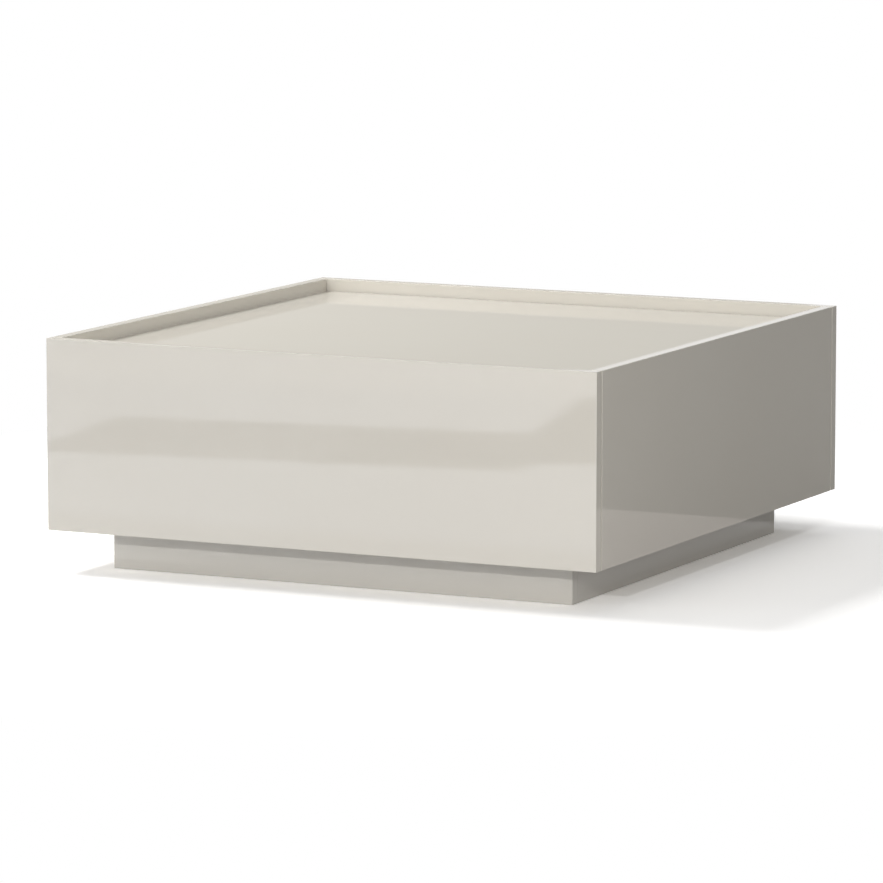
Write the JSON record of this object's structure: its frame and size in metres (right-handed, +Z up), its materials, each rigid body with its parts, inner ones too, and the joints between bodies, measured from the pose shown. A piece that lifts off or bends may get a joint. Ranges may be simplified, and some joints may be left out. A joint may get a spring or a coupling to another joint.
{
  "type": "coffee table",
  "caption": "Low square coffee table in high-gloss greige lacquer: tray top, set-back plinth and handleless push-open drawers that slide out at the front and the back.",
  "frame": {"origin": "on the floor, below the middle of the table", "axes": "+Z up; the front drawer opens towards -Y and the back drawer towards +Y; +X runs to the right as seen from the front"},
  "size_m": [0.95, 0.95, 0.372],
  "materials": {
    "lacquer": "high-gloss greige lacquer on fibreboard",
    "melamine": "matt melamine-faced board",
    "beech": "planed beech",
    "runner_steel": "zinc-plated cold-rolled steel",
    "zinc_steel": "zinc-plated steel",
    "zinc_alloy": "die-cast zinc alloy",
    "acetal": "moulded acetal",
    "latch_plastic": "moulded grey plastic"
  },
  "bodies": {
    "carcass": {"table_top": "lacquer", "left_side_panel": "lacquer", "right_side_panel": "lacquer", "bottom_panel": "lacquer", "centre_partition": "melamine", "plinth_front": "lacquer", "plinth_back": "lacquer", "plinth_left": "lacquer", "plinth_right": "lacquer", "plinth_cross_rail": "lacquer", "plinth_corner_blocks": "beech", "plinth_screws": "zinc_steel", "carcass_cam_bolts": "zinc_steel", "carcass_cam_locks": "zinc_alloy", "carcass_dowels": "beech", "front_left_cabinet_rail": "runner_steel", "front_right_cabinet_rail": "runner_steel", "back_left_cabinet_rail": "runner_steel", "back_right_cabinet_rail": "runner_steel", "cabinet_rail_screws": "zinc_steel", "front_latch_housings": "latch_plastic", "back_latch_housings": "latch_plastic", "latch_screws": "zinc_steel"},
    "front_drawer": {"front_drawer_front": "lacquer", "front_drawer_left_side": "melamine", "front_drawer_right_side": "melamine", "front_drawer_back": "melamine", "front_drawer_bottom": "melamine", "front_drawer_batten": "beech", "front_drawer_cam_bolts": "zinc_steel", "front_drawer_cam_locks": "zinc_alloy", "front_drawer_dowels": "beech", "front_drawer_screws": "zinc_steel", "front_drawer_long_screws": "zinc_steel", "front_left_drawer_rail": "runner_steel", "front_right_drawer_rail": "runner_steel"},
    "front_middle_rails": {"front_left_middle_rail": "runner_steel", "front_right_middle_rail": "runner_steel"},
    "front_outer_cages": {"front_outer_cages": "acetal"},
    "front_inner_cages": {"front_inner_cages": "acetal"},
    "front_latch_plungers": {"front_latch_plungers": "acetal"},
    "back_drawer": {"back_drawer_front": "lacquer", "back_drawer_left_side": "melamine", "back_drawer_right_side": "melamine", "back_drawer_back": "melamine", "back_drawer_bottom": "melamine", "back_drawer_batten": "beech", "back_drawer_cam_bolts": "zinc_steel", "back_drawer_cam_locks": "zinc_alloy", "back_drawer_dowels": "beech", "back_drawer_screws": "zinc_steel", "back_drawer_long_screws": "zinc_steel", "back_left_drawer_rail": "runner_steel", "back_right_drawer_rail": "runner_steel"},
    "back_middle_rails": {"back_left_middle_rail": "runner_steel", "back_right_middle_rail": "runner_steel"},
    "back_outer_cages": {"back_outer_cages": "acetal"},
    "back_inner_cages": {"back_inner_cages": "acetal"},
    "back_latch_plungers": {"back_latch_plungers": "acetal"}
  },
  "joints": [
    {"name": "front_drawer_slide", "type": "slide", "parent": "carcass", "child": "front_drawer", "axis": [0, -1, 0], "range_m": [-0.002, 0.35]},
    {"name": "front_middle_rails_slide", "type": "slide", "parent": "carcass", "child": "front_middle_rails", "axis": [0, -1, 0], "range_m": [-0.001, 0.175]},
    {"name": "front_outer_cages_slide", "type": "slide", "parent": "carcass", "child": "front_outer_cages", "axis": [0, -1, 0], "range_m": [-0.0005, 0.0875]},
    {"name": "front_inner_cages_slide", "type": "slide", "parent": "carcass", "child": "front_inner_cages", "axis": [0, -1, 0], "range_m": [-0.0015, 0.2625]},
    {"name": "front_latch_plungers_slide", "type": "slide", "parent": "carcass", "child": "front_latch_plungers", "axis": [0, -1, 0], "range_m": [-0.00008, 0.014]},
    {"name": "back_drawer_slide", "type": "slide", "parent": "carcass", "child": "back_drawer", "axis": [0, 1, 0], "range_m": [-0.002, 0.35]},
    {"name": "back_middle_rails_slide", "type": "slide", "parent": "carcass", "child": "back_middle_rails", "axis": [0, 1, 0], "range_m": [-0.001, 0.175]},
    {"name": "back_outer_cages_slide", "type": "slide", "parent": "carcass", "child": "back_outer_cages", "axis": [0, 1, 0], "range_m": [-0.0005, 0.0875]},
    {"name": "back_inner_cages_slide", "type": "slide", "parent": "carcass", "child": "back_inner_cages", "axis": [0, 1, 0], "range_m": [-0.0015, 0.2625]},
    {"name": "back_latch_plungers_slide", "type": "slide", "parent": "carcass", "child": "back_latch_plungers", "axis": [0, 1, 0], "range_m": [-0.00008, 0.014]}
  ],
  "couplings": [
    {"joint": "front_middle_rails_slide", "follows": "front_drawer_slide", "ratio": 0.5},
    {"joint": "front_outer_cages_slide", "follows": "front_drawer_slide", "ratio": 0.25},
    {"joint": "front_inner_cages_slide", "follows": "front_drawer_slide", "ratio": 0.75},
    {"joint": "front_latch_plungers_slide", "follows": "front_drawer_slide", "ratio": 0.04},
    {"joint": "back_middle_rails_slide", "follows": "back_drawer_slide", "ratio": 0.5},
    {"joint": "back_outer_cages_slide", "follows": "back_drawer_slide", "ratio": 0.25},
    {"joint": "back_inner_cages_slide", "follows": "back_drawer_slide", "ratio": 0.75},
    {"joint": "back_latch_plungers_slide", "follows": "back_drawer_slide", "ratio": 0.04}
  ]
}
